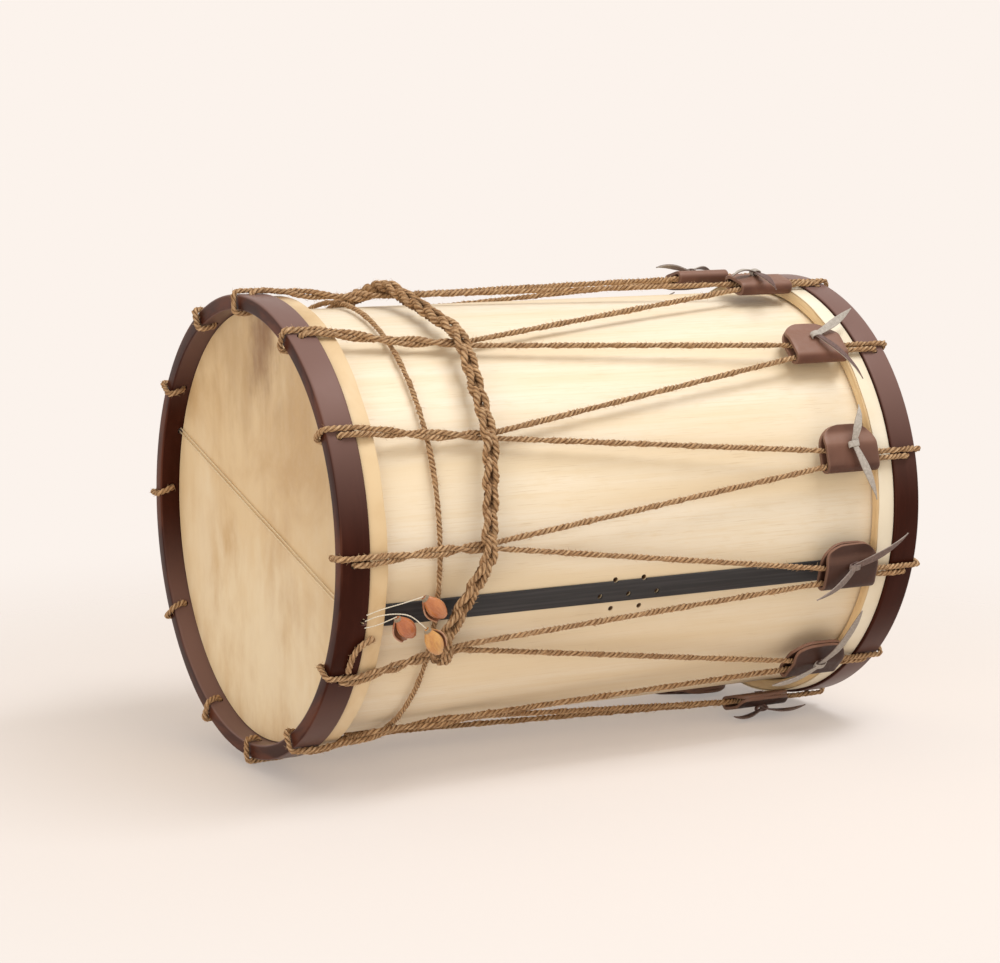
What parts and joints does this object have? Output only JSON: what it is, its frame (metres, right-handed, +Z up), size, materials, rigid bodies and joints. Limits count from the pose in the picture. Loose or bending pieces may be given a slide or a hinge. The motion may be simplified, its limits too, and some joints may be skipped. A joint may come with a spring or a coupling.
{
  "type": "rope-tensioned side drum",
  "caption": "Cylindrical wooden side drum with skin heads, rope tension, sliding leather tugs, a gut snare and hanging seed-shell jingles.",
  "frame": {"origin": "on the floor, under the middle of the drum lying on its side", "axes": "+X along the drum's axis from the front (snare) head to the rear head, +Z up, the pictured side faces -Y"},
  "size_m": [0.4811, 0.3559, 0.3449],
  "materials": {
    "shell_wood": "pale wood, satin oil finish",
    "strip_stain": "thin strip, stained near black",
    "hoop_paint": "dark red-brown paint, satin, worn at the edges",
    "ring_wood": "pale bent wood, bare",
    "calfskin": "translucent calfskin, mottled",
    "jute_rope": "laid jute rope, fibrous",
    "tug_leather": "thick red-brown leather, pale cut edges",
    "thong_leather": "leather lace, grey flesh side out",
    "gut": "twisted gut, glossy",
    "string": "thin stiff string",
    "seed_shell": "dried seed shell, glossy"
  },
  "bodies": {
    "drum": {"shell": "shell_wood", "seam_strip": "strip_stain", "front_glue_ring": "shell_wood", "rear_glue_ring": "shell_wood", "front_flesh_hoop": "ring_wood", "rear_flesh_hoop": "ring_wood", "front_head": "calfskin", "rear_head": "calfskin", "front_counterhoop": "hoop_paint", "rear_counterhoop": "hoop_paint", "tension_rope_01": "jute_rope", "tension_rope_02": "jute_rope", "tension_rope_03": "jute_rope", "tension_rope_04": "jute_rope", "tension_rope_05": "jute_rope", "tension_rope_06": "jute_rope", "tension_rope_07": "jute_rope", "tension_rope_08": "jute_rope", "tension_rope_09": "jute_rope", "tension_rope_10": "jute_rope", "tension_rope_11": "jute_rope", "tension_rope_12": "jute_rope", "girth_rope": "jute_rope", "chain_braid": "jute_rope", "rope_tail": "jute_rope", "snare_gut": "gut"},
    "tug_01": {"tug_01": "tug_leather", "thong_01": "thong_leather"},
    "tug_02": {"tug_02": "tug_leather", "thong_02": "thong_leather"},
    "tug_03": {"tug_03": "tug_leather", "thong_03": "thong_leather"},
    "tug_04": {"tug_04": "tug_leather", "thong_04": "thong_leather"},
    "tug_05": {"tug_05": "tug_leather", "thong_05": "thong_leather"},
    "tug_06": {"tug_06": "tug_leather", "thong_06": "thong_leather"},
    "tug_07": {"tug_07": "tug_leather", "thong_07": "thong_leather"},
    "tug_08": {"tug_08": "tug_leather", "thong_08": "thong_leather"},
    "tug_09": {"tug_09": "tug_leather", "thong_09": "thong_leather"},
    "tug_10": {"tug_10": "tug_leather", "thong_10": "thong_leather"},
    "tug_11": {"tug_11": "tug_leather", "thong_11": "thong_leather"},
    "tug_12": {"tug_12": "tug_leather", "thong_12": "thong_leather"},
    "jingle_1": {"jingle_string_1": "string", "jingle_shell_1": "seed_shell"},
    "jingle_2": {"jingle_string_2": "string", "jingle_shell_2": "seed_shell"},
    "jingle_3": {"jingle_string_3": "string", "jingle_shell_3": "seed_shell"}
  },
  "joints": [
    {"name": "tug_01_slide", "type": "slide", "parent": "drum", "child": "tug_01", "axis": [-1, 0, 0], "range_m": [0, 0.045], "deforming": ["tension_rope_01", "tension_rope_02"]},
    {"name": "tug_02_slide", "type": "slide", "parent": "drum", "child": "tug_02", "axis": [-1, 0, 0], "range_m": [0, 0.045], "deforming": ["tension_rope_02", "tension_rope_03"]},
    {"name": "tug_03_slide", "type": "slide", "parent": "drum", "child": "tug_03", "axis": [-1, 0, 0], "range_m": [0, 0.045], "deforming": ["tension_rope_03", "tension_rope_04"]},
    {"name": "tug_04_slide", "type": "slide", "parent": "drum", "child": "tug_04", "axis": [-1, 0, 0], "range_m": [0, 0.045], "deforming": ["tension_rope_04", "tension_rope_05"]},
    {"name": "tug_05_slide", "type": "slide", "parent": "drum", "child": "tug_05", "axis": [-1, 0, 0], "range_m": [0, 0.045], "deforming": ["tension_rope_05", "tension_rope_06"]},
    {"name": "tug_06_slide", "type": "slide", "parent": "drum", "child": "tug_06", "axis": [-1, 0, 0], "range_m": [0, 0.045], "deforming": ["tension_rope_06", "tension_rope_07"]},
    {"name": "tug_07_slide", "type": "slide", "parent": "drum", "child": "tug_07", "axis": [-1, 0, 0], "range_m": [0, 0.045], "deforming": ["tension_rope_07", "tension_rope_08"]},
    {"name": "tug_08_slide", "type": "slide", "parent": "drum", "child": "tug_08", "axis": [-1, 0, 0], "range_m": [0, 0.045], "deforming": ["tension_rope_08", "tension_rope_09"]},
    {"name": "tug_09_slide", "type": "slide", "parent": "drum", "child": "tug_09", "axis": [-1, 0, 0], "range_m": [0, 0.045], "deforming": ["tension_rope_09", "tension_rope_10"]},
    {"name": "tug_10_slide", "type": "slide", "parent": "drum", "child": "tug_10", "axis": [-1, 0, 0], "range_m": [0, 0.045], "deforming": ["tension_rope_10", "tension_rope_11"]},
    {"name": "tug_11_slide", "type": "slide", "parent": "drum", "child": "tug_11", "axis": [-1, 0, 0], "range_m": [0, 0.045], "deforming": ["tension_rope_11", "tension_rope_12"]},
    {"name": "tug_12_slide", "type": "slide", "parent": "drum", "child": "tug_12", "axis": [-1, 0, 0], "range_m": [0, 0.045], "deforming": ["tension_rope_12", "tension_rope_01"]},
    {"name": "jingle_1_swing", "type": "hinge", "parent": "drum", "child": "jingle_1", "pos_m": [-0.2164, -0.16145, 0.13518], "axis": [0, 0.225, -0.9744], "range_deg": [0, 50]},
    {"name": "jingle_2_swing", "type": "hinge", "parent": "drum", "child": "jingle_2", "pos_m": [-0.2168, -0.15912, 0.12622], "axis": [0, 0.279, -0.9603], "range_deg": [0, 50]},
    {"name": "jingle_3_swing", "type": "hinge", "parent": "drum", "child": "jingle_3", "pos_m": [-0.2166, -0.15958, 0.13089], "axis": [0, 0.2521, -0.9677], "range_deg": [0, 50]}
  ]
}
